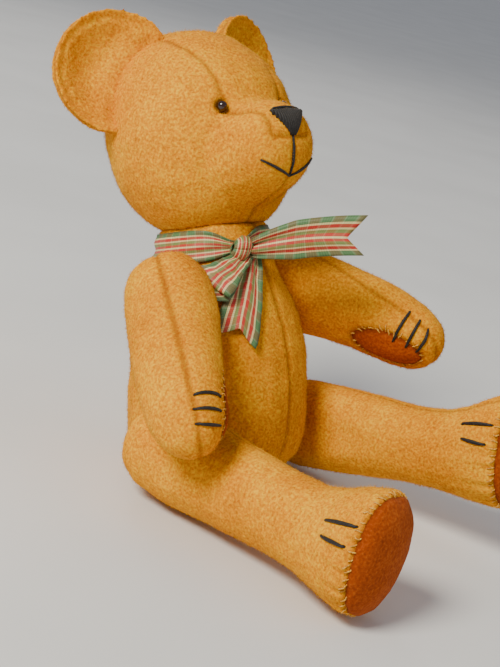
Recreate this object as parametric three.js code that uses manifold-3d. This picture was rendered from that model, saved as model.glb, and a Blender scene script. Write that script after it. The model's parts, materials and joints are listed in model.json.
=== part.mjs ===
// A small jointed teddy bear, sitting, in millimetres with +Z up.
// It faces -Y, and its own left side is +X.
// Each limb is drawn hanging straight down from its joint, then turned to its resting angle.
import * as THREE from "three";
import { mergeVertices } from "three/addons/utils/BufferGeometryUtils.js";
import Module from "manifold-3d";

const wasm = await Module();
wasm.setup();
const { Manifold } = wasm;

// Driving dimensions.
const PLUSH = 1.1;             // thickness of the wool plush
const SEAM = 0.3;              // gap left at a seam or between touching pieces
const NECK = { y: 8, z: 64, tilt: 13 };
const SHOULDER = { x: 17.9, y: 2, z: 46, tilt: 27, room: 10.5 };
const HIP = { x: 20.2, y: -5, z: 11 };
const LEAN = 10;               // the back leans this far behind upright, in degrees
const FLOOR = -1.2;            // height of the resting plane under the body's own origin
const REST = { armRight: 38, armLeft: 68, legRight: 81, legLeft: 92, head: -12 };
const TWIST = { armRight: -58, armLeft: 4, legRight: 14, legLeft: 4 };

// Fabric shapes as rings from top to bottom: [height, middle y, half depth, half width, middle x].
const BODY = [
  [70.5, 9, 0, 0, 0], [70, 9, 9, 9, 0], [67.8, 8.6, 12.8, 12.8, 0], [60, 7.6, 13.8, 13.4, 0],
  [53, 6, 15.8, 15.2, 0], [45, 4.4, 18.8, 19.4, 0], [36, 3, 21.2, 20.8, 0], [24, 2.4, 22.8, 21, 0],
  [13, 2, 22.4, 21.2, 0], [5, 2.2, 20, 20.6, 0], [0.8, 3.6, 13.6, 16.4, 0], [-0.8, 4, 7, 9, 0],
  [-1.2, 4, 0, 0, 0],
];
const CRANIUM = [
  [50.5, 6, 0, 0, 0], [50, 6, 6, 6, 0], [47.5, 5.5, 12.5, 12, 0], [43, 4.5, 17.8, 17.4, 0],
  [36, 3.4, 21.8, 21.8, 0], [27, 2.6, 23.6, 24.3, 0], [18, 2, 23.2, 24.3, 0],
  [10, 1.4, 20.6, 22, 0], [4, 1, 16.8, 18, 0], [0, 0.5, 13, 13.6, 0], [-1.5, 0.5, 8, 8, 0],
  [-2, 0.5, 0, 0, 0],
];
const MUZZLE = [
  [31.6, 18.6, 0, 0, 0], [31.2, 18.6, 4.2, 4.6, 0], [29.6, 18.6, 7.8, 8.2, 0],
  [26.8, 18.2, 10.2, 10.6, 0], [22, 17.6, 11.6, 12.4, 0], [15, 17, 13.6, 15.5, 0],
  [8, 16, 14.6, 17, 0], [3, 16, 10, 11, 0], [1, 16, 0, 0, 0],
];
const ARM = [
  [8.4, 0, 0, 0, 8.2], [8, 0, 4.4, 4, 8.2], [5.6, 0, 8.2, 7.6, 8.1], [0, 0, 10.4, 9.9, 7.9],
  [-11, 0, 11.4, 9.8, 8.9], [-22, 0, 11, 8.8, 11.4], [-32, 0, 10, 8, 12.5],
  [-39.5, 0, 8.8, 7.2, 12.8], [-44.5, 0, 6, 5.2, 12.8], [-46.7, 0, 2.6, 2.4, 12.8],
  [-47, 0, 0, 0, 12.8],
];
const LEG = [
  [10.6, 0, 0, 0, 8], [10.2, 0, 5, 4.6, 8], [7, 0, 9.2, 8, 7.6], [-1, 0, 11.6, 9, 7.3],
  [-14, 0, 11.8, 8.8, 7.6], [-28, 0, 10.8, 8.6, 8.6], [-41, 0, 10, 8.8, 9.4],
  [-50, -0.6, 11.4, 10, 10.6], [-57, -2, 13.6, 11.4, 11.8], [-62.5, -2.8, 14.8, 12, 12.4],
  [-65, -2.8, 13, 10.4, 12.4], [-65.6, -2.8, 6.4, 5.4, 12.4], [-65.8, -2.8, 0, 0, 12.4],
];
const BODY_GRID = { around: 24, along: 18, square: 2.4 };
const SOLE_RIM = -63.9;
const PAW_PAD = { z: -35, halfLength: 9.5, halfWidth: 4.9 };
const EAR = { x: 22.5, y: 6, z: 40.5, radius: 16, cup: 5, thick: 1.5, yaw: 16, roll: 34 };
const EYE = { x: 10.2, z: 28.5, radius: 1.7 };
const DISC = { thick: 1.5, from: 3.3, shoulder: 5.4, hip: 4.8, neck: 9 };
const PIN = { radius: 0.8, head: 2.4, headThick: 0.8 };
const KNOT = { turn: 32, drop: 4.6, out: 17.2 };

const plush = material("#bd8338", 0.95);
const felt = material("#8f4820", 0.9);
const thread = material("#2a2523", 0.7);
const stuffing = material("#d9c9a3", 1.0);
const board = material("#80603c", 0.85);
const steel = material("#a9adb0", 0.35, 0.9);
const bead = material("#17110e", 0.15);
const ribbon = material("#9b5a4a", 0.6);

function material(color, roughness, metalness = 0) {
  return new THREE.MeshStandardMaterial({ color, roughness, metalness });
}

function radians(degrees) {
  return THREE.MathUtils.degToRad(degrees);
}

// The ring at share t of the way down a list of rings, on a smooth curve through them.
function ringAt(rings, t) {
  const place = t * (rings.length - 1);
  const at = Math.min(Math.floor(place), rings.length - 2);
  const u = place - at;
  const pick = (i) => rings[THREE.MathUtils.clamp(i, 0, rings.length - 1)];
  return rings[0].map((_, k) => {
    const [a, b, c, d] = [pick(at - 1)[k], pick(at)[k], pick(at + 1)[k], pick(at + 2)[k]];
    const slopeB = (c - a) / 2;
    const slopeC = (d - b) / 2;
    const cubic = 2 * b - 2 * c + slopeB + slopeC;
    const square = -3 * b + 3 * c - 2 * slopeB - slopeC;
    return ((cubic * u + square) * u + slopeB) * u + b;
  });
}

// Rings of a shape whose surface lies `by` further out, or further in when `by` is negative.
function grown(rings, by) {
  const top = rings[0][0];
  const bottom = rings[rings.length - 1][0];
  const middle = (top + bottom) / 2;
  const reach = (top - bottom) / 2;
  return rings.map(([z, y, depth, width, x]) => [
    z + (by * (z - middle)) / reach, y,
    depth && Math.max(depth + by, 0.4), width && Math.max(width + by, 0.4), x,
  ]);
}

// A closed geometry as a solid that can be cut and joined.
function solid(geometry) {
  geometry.deleteAttribute("normal");
  geometry.deleteAttribute("uv");
  const merged = mergeVertices(geometry, 1e-4);
  return new Manifold(new wasm.Mesh({
    numProp: 3,
    vertProperties: new Float32Array(merged.attributes.position.array),
    triVerts: new Uint32Array(merged.index.array),
  }));
}

// A rounded solid through rings, drawn on a sphere's grid; `square` above 2 flattens its sides.
function loft(rings, { around, along, square }) {
  const sphere = new THREE.SphereGeometry(1, around, along);
  const place = sphere.attributes.position;
  for (let i = 0; i < place.count; i++) {
    const t = Math.acos(THREE.MathUtils.clamp(place.getY(i), -1, 1)) / Math.PI;
    const turn = Math.atan2(-place.getZ(i), place.getX(i));
    const [z, y, depth, width, x] = ringAt(rings, t);
    const [c, s] = [Math.cos(turn), Math.sin(turn)];
    const across = Math.sign(c) * Math.abs(c) ** (2 / square);
    const forward = Math.sign(s) * Math.abs(s) ** (2 / square);
    place.setXYZ(i, x + width * across, y + depth * forward, z);
  }
  return solid(sphere);
}

// A flat outline in x and z, made `deep` thick and centred on y = 0.
function plate(points, deep) {
  const outline = new THREE.Shape(points.map(([x, z]) => new THREE.Vector2(x, z)));
  const extruded = new THREE.ExtrudeGeometry(outline, { depth: deep, bevelEnabled: false });
  return solid(extruded).translate([0, 0, -deep / 2]).rotate([90, 0, 0]);
}

// An oval outline for a plate.
function oval(halfWidth, halfHeight, middleX = 0, middleZ = 0, count = 24) {
  return Array.from({ length: count }, (_, i) => {
    const turn = (i / count) * 2 * Math.PI;
    return [middleX + halfWidth * Math.cos(turn), middleZ + halfHeight * Math.sin(turn)];
  });
}

// A cylinder along X from one x to another.
function rod(radius, from, to) {
  return Manifold.cylinder(to - from, radius, radius, 16).rotate([0, 90, 0]).translate([from, 0, 0]);
}

// A solid of revolution about Z, from an outline that starts and ends on the axis.
function turned(outline, segments = 28) {
  return solid(new THREE.LatheGeometry(outline.map(([r, z]) => new THREE.Vector2(r, z)), segments))
    .rotate([90, 0, 0]);
}

function mesh(name, shape, look) {
  const { vertProperties, triVerts } = shape.simplify(0.04).getMesh();
  const geometry = new THREE.BufferGeometry();
  geometry.setAttribute("position", new THREE.BufferAttribute(new Float32Array(vertProperties), 3));
  geometry.setIndex(new THREE.BufferAttribute(new Uint32Array(triVerts), 1));
  geometry.computeVertexNormals();
  const part = new THREE.Mesh(geometry, look);
  part.name = name;
  return part;
}

// The two halves of a skin on either side of an upright seam plane turned `twist` degrees about Z.
function seamHalves(skin, twist, x) {
  const [c, s] = [Math.cos(radians(twist)), Math.sin(radians(twist))];
  const half = (sign) => skin.trimByPlane([sign * c, sign * s, 0], sign * x * c + SEAM / 2);
  return { plus: half(1), minus: half(-1) };
}

// Joint hardware about the X axis, with the body on the -X side and the limb on the +X side.
function jointHardware(name, radius) {
  const outer = DISC.from + DISC.thick;
  const head = outer + SEAM;
  const disc = (from, to) => rod(radius, from, to).subtract(rod(PIN.radius + SEAM, -99, 99));
  const shaft = rod(PIN.radius, -head - 0.1, head + 0.1);
  const caps = [rod(PIN.head, head, head + PIN.headThick), rod(PIN.head, -head - PIN.headThick, -head)];
  return {
    bodyDisc: mesh(`${name}_disc_in_body`, disc(-outer, -DISC.from), board),
    limbDisc: mesh(`${name}_disc`, disc(DISC.from, outer), board),
    pin: mesh(`${name}_pin`, shaft.add(caps[0]).add(caps[1]), steel),
  };
}

// The room that one side of a joint takes out of the stuffing.
function jointPocket(radius, side) {
  const deep = DISC.from + DISC.thick + SEAM;
  const disc = rod(radius + SEAM, 0, deep);
  const head = rod(PIN.head + SEAM, 0, deep + PIN.headThick + SEAM);
  return sided(disc.add(head), side);
}

const pinHole = rod(PIN.radius + SEAM, -6, 6);

// A shape drawn for the bear's left side, mirrored when it is for the right.
const sided = (shape, side) => (side > 0 ? shape : shape.mirror([1, 0, 0]));

// The three joints' places in the body: each takes a shape from its own axis to the body's frame.
const toShoulder = (shape, side) =>
  sided(shape, side)
    .rotate([0, -side * SHOULDER.tilt, 0]).translate([side * SHOULDER.x, SHOULDER.y, SHOULDER.z]);
const toHip = (shape, side) =>
  sided(shape, side).translate([side * HIP.x, HIP.y, HIP.z]);
const toNeck = (shape) => shape.rotate([0, -90, 0]).rotate([-NECK.tilt, 0, 0]).translate([0, NECK.y, NECK.z]);

function neckGroup() {
  const group = new THREE.Group();
  group.position.set(0, NECK.y, NECK.z);
  group.rotation.x = -radians(NECK.tilt);
  return group;
}

// What is left of a shape beside the two arms, whose tops turn `back` away from it.
function clearOfArms(shape, back) {
  const room = rod(SHOULDER.room + back, -back, 40);
  return shape.subtract(toShoulder(room, 1)).subtract(toShoulder(room, -1));
}

// The body's fabric and stuffing share these flat places, `inset` inside the finished surface.
function trimmedBody(shape, inset) {
  const [neckS, neckC] = [Math.sin(radians(NECK.tilt)), Math.cos(radians(NECK.tilt))];
  const [leanS, leanC] = [Math.sin(radians(LEAN)), Math.cos(radians(LEAN))];
  const back = SEAM / 2 + inset;
  let cut = clearOfArms(shape, back);
  cut = cut.trimByPlane([-1, 0, 0], back - HIP.x).trimByPlane([1, 0, 0], back - HIP.x);
  cut = cut.trimByPlane([0, -neckS, -neckC], -(NECK.y * neckS + NECK.z * neckC) + back);
  return cut.trimByPlane([0, -leanS, leanC], FLOOR + inset);
}

function body(group) {
  const outer = trimmedBody(loft(BODY, BODY_GRID), 0);
  const inner = trimmedBody(loft(grown(BODY, -PLUSH), BODY_GRID), PLUSH);
  let skin = outer.subtract(inner).subtract(toNeck(pinHole));
  let filling = trimmedBody(loft(grown(BODY, -PLUSH - SEAM), BODY_GRID), PLUSH + SEAM);
  filling = filling.subtract(toNeck(jointPocket(DISC.neck, -1)));
  for (const side of [1, -1]) {
    skin = skin.subtract(toShoulder(pinHole, side)).subtract(toHip(pinHole, side));
    filling = filling.subtract(toShoulder(jointPocket(DISC.shoulder, -1), side));
    filling = filling.subtract(toHip(jointPocket(DISC.hip, -1), side));
  }
  const halves = seamHalves(skin, 0, 0);
  group.add(mesh("body_skin_left", halves.plus, plush));
  group.add(mesh("body_skin_right", halves.minus, plush));
  group.add(mesh("body_stuffing", filling, stuffing));
}

// The head's outside, `by` further out, standing on its neck joint.
function headShape(by) {
  const muzzle = loft(grown(MUZZLE, by), { around: 18, along: 12, square: 2.1 }).rotate([90, 0, 0]);
  const cranium = loft(grown(CRANIUM, by), { around: 24, along: 16, square: 2.1 });
  return cranium.add(muzzle).trimByPlane([0, 0, 1], SEAM / 2 - by);
}

function eyePlace(side, outer) {
  const beads = Manifold.sphere(EYE.radius, 12);
  const ray = rod(0.3, 0, 60).rotate([0, 0, -90]).translate([side * EYE.x, 0, EYE.z]);
  const depth = outer.intersect(ray).boundingBox().min[1];
  return { beads, at: [side * EYE.x, depth + 0.4, EYE.z] };
}

function head(group) {
  const outer = headShape(0);
  const shell = outer.subtract(headShape(-PLUSH)).subtract(pinHole.rotate([0, -90, 0]));
  const eyes = [1, -1].map((side) => eyePlace(side, outer));
  const sockets = eyes.map(({ at }) => Manifold.sphere(EYE.radius + SEAM, 8).translate(at));
  const skin = sockets.reduce((left, socket) => left.subtract(socket), shell);
  const gusset = [[4.6, -60], [5.4, -32], [9.6, -18], [11.5, -6], [10.5, 8], [7, 20], [3.5, 40]];
  const strip = (by) => {
    const right = gusset.map(([x, y]) => [x + by, y]);
    const outline = [...right, ...right.slice().reverse().map(([x, y]) => [-x, y])];
    const shape = new THREE.Shape(outline.map(([x, y]) => new THREE.Vector2(x, y)));
    return solid(new THREE.ExtrudeGeometry(shape, { depth: 60, bevelEnabled: false }))
      .translate([0, 0, 19.5 - by]);
  };
  const halves = seamHalves(skin.subtract(strip(SEAM / 2)), 0, 0);
  group.add(mesh("head_gusset", skin.intersect(strip(-SEAM / 2)), plush));
  group.add(mesh("head_skin_left", halves.plus, plush));
  group.add(mesh("head_skin_right", halves.minus, plush));
  const pocket = jointPocket(DISC.neck, 1).rotate([0, -90, 0]);
  const filling = sockets.reduce((left, socket) => left.subtract(socket), headShape(-PLUSH - SEAM));
  group.add(mesh("head_stuffing", filling.subtract(pocket), stuffing));
  group.add(mesh("eye_left", eyes[0].beads.translate(eyes[0].at), bead));
  group.add(mesh("eye_right", eyes[1].beads.translate(eyes[1].at), bead));
  face(group);
}

// The stitched nose and mouth lie on the muzzle's front.
function face(group) {
  const layer = headShape(SEAM + 0.7).subtract(headShape(SEAM));
  const front = (points) => plate(points, 30).translate([0, -40, 0]);
  const nose = [[-5.2, 25.4], [-4, 26.4], [4, 26.4], [5.2, 25.4], [0.9, 19.4], [-0.9, 19.4]];
  const w = 0.5;
  const mouth = [
    [-w, 18.9], [-w, 11.4], [-8.2, 14.6], [-8.8, 13.7], [0, 9.6],
    [8.8, 13.7], [8.2, 14.6], [w, 11.4], [w, 18.9],
  ];
  group.add(mesh("nose_stitching", layer.intersect(front(nose.slice().reverse())), thread));
  group.add(mesh("mouth_stitching", layer.intersect(front(mouth)), thread));
}

// One ear panel is a shallow dish; the front and back panels nest with a gap between them.
function earPanel(from) {
  const steps = [0, 1, 2, 3, 4, 5];
  const arc = (lift) => steps.map((i) => {
    const r = (EAR.radius * i) / (steps.length - 1);
    return [r, lift - EAR.cup * (1 - (r / EAR.radius) ** 2)];
  });
  return turned([...arc(from), ...arc(from + EAR.thick).reverse()], 24);
}

function ears(group) {
  const clear = headShape(SEAM);
  for (const [side, name] of [[1, "left"], [-1, "right"]]) {
    const place = (panel) => panel.rotate([90, 0, 0]).rotate([0, side * EAR.roll, 0])
      .rotate([0, 0, side * EAR.yaw]).translate([side * EAR.x, EAR.y, EAR.z]).subtract(clear);
    const biggest = (shape) => shape.decompose().sort((a, b) => b.volume() - a.volume())[0];
    group.add(mesh(`ear_front_${name}`, biggest(place(earPanel(0))), plush));
    group.add(mesh(`ear_back_${name}`, biggest(place(earPanel(-EAR.thick - SEAM))), plush));
  }
}

// A limb's surface, `by` further out, with its flat side next to the body.
function limbShape(rings, by) {
  return loft(grown(rings, by), { around: 18, along: 15, square: 2.3 })
    .trimByPlane([1, 0, 0], SEAM / 2 - by);
}

// One stitched claw: a band of thread on the limb's surface, seen from `turn` degrees round.
function claw(layer, x, turn, { z, width, height }) {
  const outline = [[-width / 2, -height / 2], [width / 2, -height / 2], [width / 2, height / 2],
    [-width / 2, height / 2]];
  const bar = plate(outline, 20).translate([0, -10, z]).rotate([0, 0, turn]).translate([x, 0, 0]);
  return layer.intersect(bar);
}

function arm(group, name, side, twist) {
  const outer = limbShape(ARM, 0);
  const skin = outer.subtract(limbShape(ARM, -PLUSH)).subtract(pinHole);
  const middle = 11;
  const turn = -twist;
  const pad = (by) => plate(oval(PAW_PAD.halfWidth + by, PAW_PAD.halfLength + by, 0, PAW_PAD.z), 30)
    .translate([0, -15, 0]).rotate([0, 0, turn - 90]).translate([middle, 0, 0]);
  const halves = seamHalves(skin.subtract(pad(SEAM / 2)), turn, middle);
  const layer = limbShape(ARM, SEAM + 0.6).subtract(limbShape(ARM, SEAM));
  const claws = [{ z: -36.5 }, { z: -40 }, { z: -43.2 }].map((at, i) =>
    claw(layer, middle, turn - 22, { z: at.z, width: 8.4 - i, height: 1 }));
  const parts = [
    [`${name}_skin_outer`, halves.plus, plush],
    [`${name}_skin_inner`, halves.minus, plush],
    [`${name}_paw_pad`, skin.intersect(pad(-SEAM / 2)), felt],
    [`${name}_stuffing`, limbShape(ARM, -PLUSH - SEAM).subtract(jointPocket(DISC.shoulder, 1)), stuffing],
    ...claws.map((shape, i) => [`${name}_claw_${i + 1}`, shape, thread]),
  ];
  addSided(group, parts, side);
}

function leg(group, name, side, twist, clawTurns) {
  const skin = limbShape(LEG, 0).subtract(limbShape(LEG, -PLUSH)).subtract(pinHole);
  const middle = 9;
  const halves = seamHalves(skin.trimByPlane([0, 0, 1], SOLE_RIM + SEAM), -twist, middle);
  const layer = limbShape(LEG, SEAM + 0.6).subtract(limbShape(LEG, SEAM));
  const claws = clawTurns.map((turn, i) =>
    claw(layer, 12.2, turn, { z: -57.6, width: 1, height: 8.4 - 2 * i }));
  const parts = [
    [`${name}_skin_outer`, halves.plus, plush],
    [`${name}_skin_inner`, halves.minus, plush],
    [`${name}_foot_pad`, skin.trimByPlane([0, 0, -1], -SOLE_RIM), felt],
    [`${name}_stuffing`, limbShape(LEG, -PLUSH - SEAM).subtract(jointPocket(DISC.hip, 1)), stuffing],
    ...claws.map((shape, i) => [`${name}_claw_${i + 1}`, shape, thread]),
  ];
  addSided(group, parts, side);
}

// Limbs are drawn for the bear's left side and mirrored for its right.
function addSided(group, parts, side) {
  for (const [name, shape, look] of parts) {
    group.add(mesh(name, sided(shape, side), look));
  }
}

// The ribbon hugs the neck, and its bow hangs in front of the chest.
function neckRibbon(group) {
  const layer = (from, to) => loft(grown(BODY, to), BODY_GRID).subtract(loft(grown(BODY, from), BODY_GRID));
  const [s, c] = [Math.sin(radians(NECK.tilt)), Math.cos(radians(NECK.tilt))];
  const neck = NECK.y * s + NECK.z * c;
  const band = layer(SEAM, SEAM + 0.5).trimByPlane([0, -s, -c], -neck + 0.7)
    .trimByPlane([0, s, c], neck - 9);
  group.add(mesh("ribbon_neck_band", clearOfArms(band, SEAM), ribbon));
  const turn = -KNOT.turn;
  const hang = (points, from, to) => layer(from, to)
    .intersect(plate(points, 40).translate([0, -20, 0]).rotate([0, 0, turn]));
  const tail = hang([[-4, 57], [3, 57], [-1, 37.5], [-6.5, 41], [-11, 39]].reverse(), 1.6, 2.6);
  const loop = hang([[-1, 58], [-1, 54], [-8, 46.5], [-12.5, 49], [-9, 56]], 1.6, 4);
  const knot = Manifold.sphere(1, 12).scale([3, 2.4, 3]).translate([0, -KNOT.out, 0]);
  const fly = plate([[0, 3], [0, -3], [27, -5], [22, 0], [27, 5]], 1)
    .rotate([0, -13, 0]).rotate([0, 0, -24]).translate([1.5, -KNOT.out, 0]);
  const front = knot.add(fly).rotate([0, 0, turn]).translate([0, NECK.y - 1, NECK.z - KNOT.drop]);
  const clear = loft(grown(BODY, 2 * SEAM + 0.5), BODY_GRID);
  const [armC, armS] = [Math.cos(radians(SHOULDER.tilt)), Math.sin(radians(SHOULDER.tilt))];
  const bow = tail.add(loop).add(front).subtract(clear)
    .trimByPlane([armC, 0, -armS], 2 * SEAM - SHOULDER.x * armC - SHOULDER.z * armS);
  group.add(mesh("ribbon_bow", bow, ribbon));
}

// The hardware of a joint: the body keeps one disc and the pin, and the limb takes the other disc.
function fitJoint(name, radius, bodySide, limbSide) {
  const { bodyDisc, limbDisc, pin } = jointHardware(name, radius);
  bodySide.add(bodyDisc, pin);
  limbSide.add(limbDisc);
}

function limb(bodyGroup, name, joint, side, angle, build) {
  const mount = new THREE.Group();
  mount.position.set(side * joint.x, joint.y, joint.z);
  mount.rotation.y = -side * radians(joint.tilt ?? 0);
  const swing = new THREE.Group();
  swing.rotation.x = -radians(angle);
  build(swing);
  const [fixed, turning] = [new THREE.Group(), new THREE.Group()];
  fixed.rotation.y = side > 0 ? 0 : Math.PI;
  turning.rotation.y = fixed.rotation.y;
  fitJoint(name, joint === HIP ? DISC.hip : DISC.shoulder, fixed, turning);
  swing.add(turning);
  mount.add(fixed, swing);
  bodyGroup.add(mount);
}

function headOnNeck(bodyGroup) {
  const neck = neckGroup();
  const turning = new THREE.Group();
  turning.rotation.z = radians(REST.head);
  head(turning);
  ears(turning);
  const [fixed, moved] = [new THREE.Group(), new THREE.Group()];
  fixed.rotation.y = -Math.PI / 2;
  moved.rotation.y = -Math.PI / 2;
  fitJoint("neck", DISC.neck, fixed, moved);
  turning.add(moved);
  neck.add(fixed, turning);
  bodyGroup.add(neck);
}

function bear() {
  const whole = new THREE.Group();
  const leaning = new THREE.Group();
  leaning.rotation.x = -radians(LEAN);
  leaning.position.z = -FLOOR;
  body(leaning);
  neckRibbon(leaning);
  headOnNeck(leaning);
  limb(leaning, "shoulder_left", SHOULDER, 1, REST.armLeft, (g) => arm(g, "arm_left", 1, TWIST.armLeft));
  limb(leaning, "shoulder_right", SHOULDER, -1, REST.armRight,
    (g) => arm(g, "arm_right", -1, TWIST.armRight));
  limb(leaning, "hip_left", HIP, 1, REST.legLeft,
    (g) => leg(g, "leg_left", 1, TWIST.legLeft, [-44, -62]));
  limb(leaning, "hip_right", HIP, -1, REST.legRight,
    (g) => leg(g, "leg_right", -1, TWIST.legRight, [44, 62]));
  whole.add(leaning);
  const middle = new THREE.Box3().setFromObject(whole, true).getCenter(new THREE.Vector3());
  leaning.position.x = -middle.x;
  leaning.position.y = -middle.y;
  return whole;
}

const group = bear();
export default group;
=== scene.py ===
"""Looks of the small jointed teddy bear: plush skins, felt pads, stitching, bead eyes, tartan ribbon."""
import json
import math

import bmesh
import bpy
import numpy as np
from mathutils import Matrix, Vector, noise
from mathutils.bvhtree import BVHTree
from mathutils.kdtree import KDTree


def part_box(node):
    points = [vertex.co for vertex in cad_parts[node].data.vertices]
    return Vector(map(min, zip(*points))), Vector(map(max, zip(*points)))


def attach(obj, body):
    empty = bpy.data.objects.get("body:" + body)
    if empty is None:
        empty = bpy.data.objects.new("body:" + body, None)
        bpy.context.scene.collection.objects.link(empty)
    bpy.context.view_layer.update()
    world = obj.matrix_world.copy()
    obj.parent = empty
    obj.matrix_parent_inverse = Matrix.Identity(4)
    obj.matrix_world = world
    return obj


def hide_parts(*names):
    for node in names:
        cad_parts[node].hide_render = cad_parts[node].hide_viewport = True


MM = 0.001
LEAN = math.radians(10)                # how far the back leans behind upright
BODY_ORIGIN = (3.045, 6.098, 1.2)      # of the body's own frame, in the row frame, in mm

# Skins and pads.
SHOW_GAP = 0.25 * MM                   # each panel swells by this, so that its seams close
PLUSH_VOXEL = 0.8 * MM
EAR_VOXEL = 0.62 * MM
SKIN_THICK = 0.8 * MM
SEAM_WIDTH = 0.6 * MM
SEAM_DEPTH = 0.42 * MM
BROAD_LUMPS = (0.34 * MM, 13)          # height, and size in mm
SMALL_LUMPS = (0.14 * MM, 4.5)
PUCKER_REACH = 4 * MM                  # how far from a pad the skin's puckers fade out
DOME_REACH = 3.5 * MM                  # how far in from its edge a pad has risen
EAR_CUP = 3.2 * MM                     # depth of the hollow in an ear
EAR_BASE = 4.5 * MM                    # the hollow fades out this near the head
EAR_PULL = (1.5 * MM, 2.2 * MM)        # how far an ear's base is drawn into the head, and from how far
EYE_HOLLOW = (0.6 * MM, 3.2 * MM)      # depth and reach of the hollow round an eye

# The pressure simulation, on a coarse copy of each skin.
PROXY_VOXEL = 2.4 * MM
EAR_PROXY_VOXEL = 1.5 * MM
PROXY_SCALE = 20                       # cloth behaves better at a larger size
PROXY_FRAMES = 12
FILL_CAP = 0.6 * MM                    # no point of a skin moves further than this

# Fibres and threads.
FIBRES_PER_MM2 = 3.4
FIBRE_LENGTH = (0.45 * MM, 1.15 * MM)
FIBRE_HALF_WIDTH = (0.032 * MM, 0.055 * MM)
FIBRE_ROOT = 0.08 * MM                 # how deep a fibre starts in the skin
FIBRE_COMB = (0.15, -0.2, -0.75)       # the way the pile lies
FIBRE_CLEAR = 0.9 * MM                 # room kept to anything that a limb's fibres swing past
THREAD_SIDES = 8
FOOT_STITCHES = 46
PAW_STITCHES = 26
LIMBS = {
    "arm": {"joint": "shoulder", "pad": "paw_pad", "claws": 3, "claw_radius": 0.45 * MM,
            "relief": (0.4 * MM, 0.1 * MM)},
    "leg": {"joint": "hip", "pad": "foot_pad", "claws": 2, "claw_radius": 0.5 * MM,
            "relief": (1.8 * MM, 0.34 * MM)},
}                                      # relief is how far a pad domes, and the skin round it puckers

# The face, in mm in the head's own frame.
NOSE_HALF = 4.5                        # half width
NOSE_TOP = 26.2
NOSE_FOOT = 20.0
NOSE_CORNER = 5.0                      # how much higher the side corners' lower ends are
NOSE_POINT = 0.6                       # half width of the point at the foot
NOSE_STITCHES = 15
MOUTH_LOW = 10.2
MOUTH_HALF = 8.6
MOUTH_RISE = 4.1

# The ribbon, in mm. The knot's place is in the frame that is turned to face the bow.
RIBBON_WIDTH = 10
RIBBON_THICK = 0.22
RIBBON_COLUMNS = 13                    # points across a ribbon
BAND_TURNS = 120                       # points round the neck
BAND_TOP = -0.9                        # heights along the neck's axis
BAND_LEAST = 2.6                       # it is nowhere narrower than this
BAND_LOWEST = -9.2
BAND_STEP = 0.35
BAND_LIFT = 0.66                       # how far it stands off the neck
BAND_ROOM = 0.55                       # how far it may lie from the CAD band
KNOT_TURN = math.radians(-32)
KNOT_OUT = 17.2
KNOT_BACK = 7
KNOT_HEIGHT = 61.0
KNOT_HALF = (2.5, 2.2, 3.1)            # half its size across, out and up
KNOT_COLUMNS = 11
TAIL_LONG = 28.2                       # the tail that stands out from the knot
TAIL_HEADING = math.radians(-24)
TAIL_ROWS = 22
TAIL_NOTCH = 4.6                       # depth of the cut in its end
CHEST_LEAST_LIFT = 0.45                # the bow is nowhere closer to the chest than this

# The studio. A light is a name, place, aim, size in metres, power and colour.
CAMERA = {"azimuth": -57.25, "elevation": 16.34, "roll": 14.15, "distance": 361.0,
          "focal": 77.9, "target": (-4.65, 1.62, 42.64)}
LIGHTS = [("key", (-0.8, 0.1, 0.8), (0, 0, 0.05), 0.4, 15.0, (1.0, 0.965, 0.86)),
          ("fill", (0.35, -0.95, 0.4), (0, 0, 0.05), 0.8, 1.1, (1.0, 0.95, 0.88)),
          ("back", (0.55, 0.75, 0.75), (0, 0, 0.06), 0.5, 2.6, (1.0, 0.97, 0.92))]
SKY_COLOUR = (0.93, 0.95, 1.0)
SKY_STRENGTH = 0.39
FLOOR_HALF = 8
FLOOR_HEIGHT = -0.3 * MM

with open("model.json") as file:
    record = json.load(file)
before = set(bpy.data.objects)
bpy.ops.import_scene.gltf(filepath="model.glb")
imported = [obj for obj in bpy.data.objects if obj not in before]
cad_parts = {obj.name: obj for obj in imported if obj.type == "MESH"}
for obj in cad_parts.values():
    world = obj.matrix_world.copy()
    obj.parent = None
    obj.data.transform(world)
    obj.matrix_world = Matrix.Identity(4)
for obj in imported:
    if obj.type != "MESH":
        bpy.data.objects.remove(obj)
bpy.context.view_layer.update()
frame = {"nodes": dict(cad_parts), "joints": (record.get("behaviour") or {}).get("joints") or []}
nodes = frame["nodes"]
joints = {j["name"]: j for j in frame["joints"]}
rng = np.random.default_rng(7)


# Frames ----
def body_point(x, y, z):
    """A point of the leaning body's own frame, in mm, as a row frame point in metres."""
    c, s = math.cos(LEAN), math.sin(LEAN)
    ox, oy, oz = BODY_ORIGIN
    return Vector((ox + x, oy + y * c + z * s, oz - y * s + z * c)) * MM


def body_direction(x, y, z):
    return (body_point(x, y, z) - body_point(0, 0, 0)).normalized()


def knot_point(x, y, z):
    """A point of the frame turned to face the bow, which is drawn in that frame."""
    c, s = math.cos(KNOT_TURN), math.sin(KNOT_TURN)
    return body_point(x * c - y * s, x * s + y * c, z)


def knot_direction(x, y, z):
    return (knot_point(x, y, z) - knot_point(0, 0, 0)).normalized()


def head_axes():
    """The head's own frame: its origin on the neck, and its x, y and z directions."""
    up = Vector(joints["neck_turn"]["axis"]).normalized()
    middles = [(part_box(n)[0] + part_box(n)[1]) / 2 for n in ("eye_left", "eye_right")]
    across = middles[0] - middles[1]
    across = (across - up * across.dot(up)).normalized()
    origin = Vector(joints["neck_turn"]["pos_m"])
    return origin, across, up.cross(across), up


# Meshes ----
def new_object(name, verts, faces):
    mesh = bpy.data.meshes.new(name)
    mesh.from_pydata([tuple(v) for v in verts], [], [list(f) for f in faces])
    mesh.validate()
    obj = bpy.data.objects.new(name, mesh)
    bpy.context.scene.collection.objects.link(obj)
    mesh.polygons.foreach_set("use_smooth", [True] * len(mesh.polygons))
    return obj


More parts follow.
